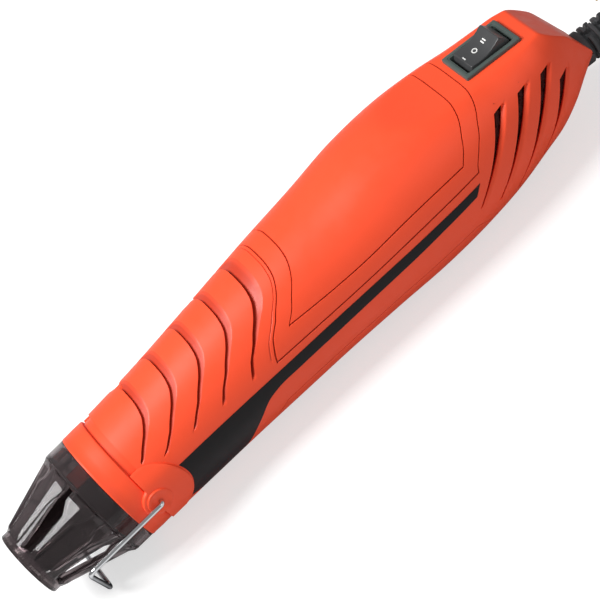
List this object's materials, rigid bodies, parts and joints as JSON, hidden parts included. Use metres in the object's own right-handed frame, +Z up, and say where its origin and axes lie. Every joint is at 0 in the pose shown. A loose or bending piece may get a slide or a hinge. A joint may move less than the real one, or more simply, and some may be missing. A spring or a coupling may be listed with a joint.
{
  "type": "embossing heat tool",
  "caption": "Slim hand-held hot-air tool with a vented orange housing, smoked nozzle guard, rocker switch and fold-down wire stand.",
  "frame": {"origin": "under the middle of the tool's length, on the surface it rests on", "axes": "+X from the nozzle to the cord, +Z up through the switch, -Y the side with the label"},
  "size_m": [0.4539, 0.0602, 0.0528],
  "materials": {
    "shell_orange": "satin",
    "collar_orange": "satin",
    "smoke_guard": "gloss",
    "steel_tube": "satin",
    "zinc_screw": "satin",
    "mica": "matte",
    "heating_wire": "satin",
    "dark_plastic": "matte",
    "fan_plastic": "matte",
    "motor_steel": "satin",
    "copper_winding": "satin",
    "magnet_grey": "matte",
    "board_green": "gloss",
    "component_blue": "gloss",
    "switch_grey": "satin",
    "rocker_grey": "satin",
    "contact_brass": "satin",
    "chrome_wire": "mirror",
    "label_black": "gloss",
    "rubber_black": "matte",
    "cord_black": "satin"
  },
  "bodies": {
    "housing": {"left_shell": "shell_orange", "right_shell": "shell_orange", "shell_screws": "zinc_screw", "front_collar": "collar_orange", "nozzle_guard": "smoke_guard", "outlet_tube": "steel_tube", "tube_washer": "mica", "mica_sleeve": "mica", "heater_former": "mica", "heating_coil": "heating_wire", "thermal_cutout": "motor_steel", "air_guide": "dark_plastic", "fan_duct": "dark_plastic", "motor_magnets": "magnet_grey", "motor_can": "motor_steel", "motor_end_cap": "dark_plastic", "motor_screws": "zinc_screw", "circuit_board": "board_green", "board_parts": "component_blue", "switch_body": "switch_grey", "switch_terminals": "contact_brass", "stand_bushes": "collar_orange", "side_label": "label_black", "cord_clamp": "dark_plastic", "clamp_screws": "zinc_screw", "inner_cord": "cord_black", "strain_relief": "rubber_black", "cord_lead": "cord_black", "cord_coil": "cord_black", "plug_lead": "cord_black", "coil_tie": "rubber_black", "plug_body": "cord_black", "plug_pins": "contact_brass"},
    "rotor": {"fan_impeller": "fan_plastic", "motor_shaft": "steel_tube", "motor_armature": "copper_winding"},
    "rocker": {"switch_rocker": "rocker_grey"},
    "stand": {"stand_wire": "chrome_wire", "stand_pins": "chrome_wire"}
  },
  "joints": [
    {"name": "fan_spin", "type": "hinge", "parent": "housing", "child": "rotor", "pos_m": [0.01, 0, 0.0235], "axis": [1, 0, 0], "continuous": true},
    {"name": "rocker_tilt", "type": "hinge", "parent": "housing", "child": "rocker", "pos_m": [0.0912, 0, 0.04351], "axis": [0, 1, 0], "range_deg": [0, 24]},
    {"name": "stand_swing", "type": "hinge", "parent": "housing", "child": "stand", "pos_m": [-0.0738, 0, 0.0235], "axis": [0, -1, 0], "range_deg": [0, 95]}
  ]
}
